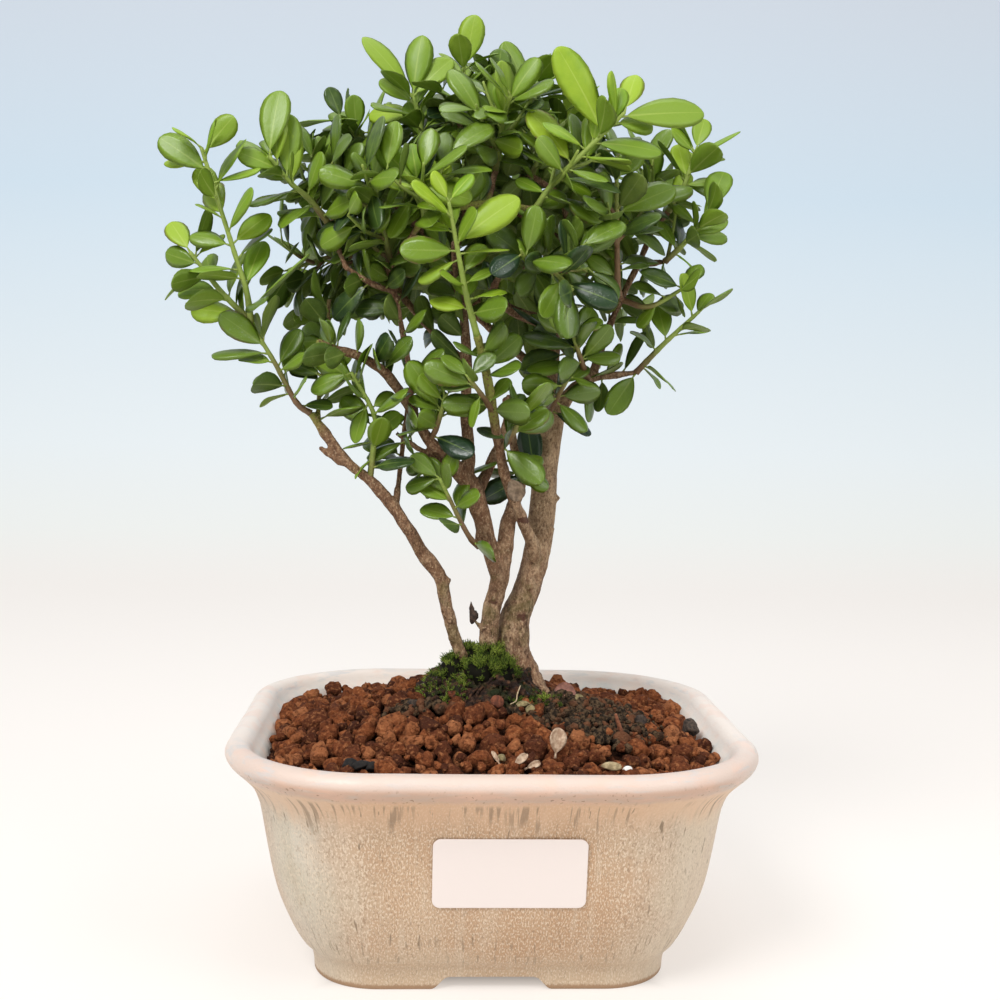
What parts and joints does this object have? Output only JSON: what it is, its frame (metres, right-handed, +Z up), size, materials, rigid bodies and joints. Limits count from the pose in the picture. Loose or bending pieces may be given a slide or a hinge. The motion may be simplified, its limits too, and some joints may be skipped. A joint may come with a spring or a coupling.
{
  "type": "japanese holly bonsai",
  "caption": "Small Japanese holly bonsai with slender branching stems and a dense crown of glossy oval leaves, in a rounded square glazed pot of grainy soil.",
  "frame": {"origin": "middle of the whole part's box, on the plane that the pot's feet stand on; the pot's own middle is about 10 mm to +X of it", "axes": "+Z up, +X to the viewer's right, the side with the label faces -Y"},
  "size_m": [0.1596, 0.14, 0.2556],
  "materials": {
    "glaze": "speckled sand glaze, satin gloss",
    "label_paper": "smooth white paper",
    "mesh_plastic": "matte",
    "soil_grains": "rough porous grains",
    "old_soil": "rough, dark and crumbly",
    "moss": "soft matte",
    "bark": "fine rough bark",
    "leaves": "waxy leaves, satin to glossy"
  },
  "bodies": {
    "root": {"drain_mesh_left": "mesh_plastic", "drain_mesh_right": "mesh_plastic", "label": "label_paper", "moss": "moss", "pot": "glaze", "root_ball": "old_soil", "shoot_crown_01": "leaves", "shoot_crown_02": "leaves", "shoot_crown_03": "leaves", "shoot_crown_04": "leaves", "shoot_crown_05": "leaves", "shoot_crown_06": "leaves", "shoot_crown_07": "leaves", "shoot_crown_08": "leaves", "shoot_crown_09": "leaves", "shoot_crown_10": "leaves", "shoot_crown_11": "leaves", "shoot_crown_12": "leaves", "shoot_crown_13": "leaves", "shoot_crown_14": "leaves", "shoot_crown_15": "leaves", "shoot_crown_16": "leaves", "shoot_crown_front_left": "leaves", "shoot_crown_left": "leaves", "shoot_crown_mid": "leaves", "shoot_crown_right": "leaves", "shoot_crown_right_mid": "leaves", "shoot_far_right": "leaves", "shoot_far_right_high": "leaves", "shoot_front_high": "leaves", "shoot_front_low": "leaves", "shoot_hang_left": "leaves", "shoot_left_fork": "leaves", "shoot_left_front": "leaves", "shoot_left_inner": "leaves", "shoot_left_spike": "leaves", "shoot_low_mid_left": "leaves", "shoot_low_mid_right": "leaves", "shoot_low_right": "leaves", "shoot_low_right_upper": "leaves", "shoot_mid_left_low": "leaves", "shoot_right_back": "leaves", "shoot_right_high": "leaves", "shoot_right_mid": "leaves", "shoot_trunk_front": "leaves", "shoot_trunk_low": "leaves", "shoot_upper_left": "leaves", "shoot_upper_left_back": "leaves", "soil": "soil_grains", "wood": "bark"}
  },
  "joints": []
}
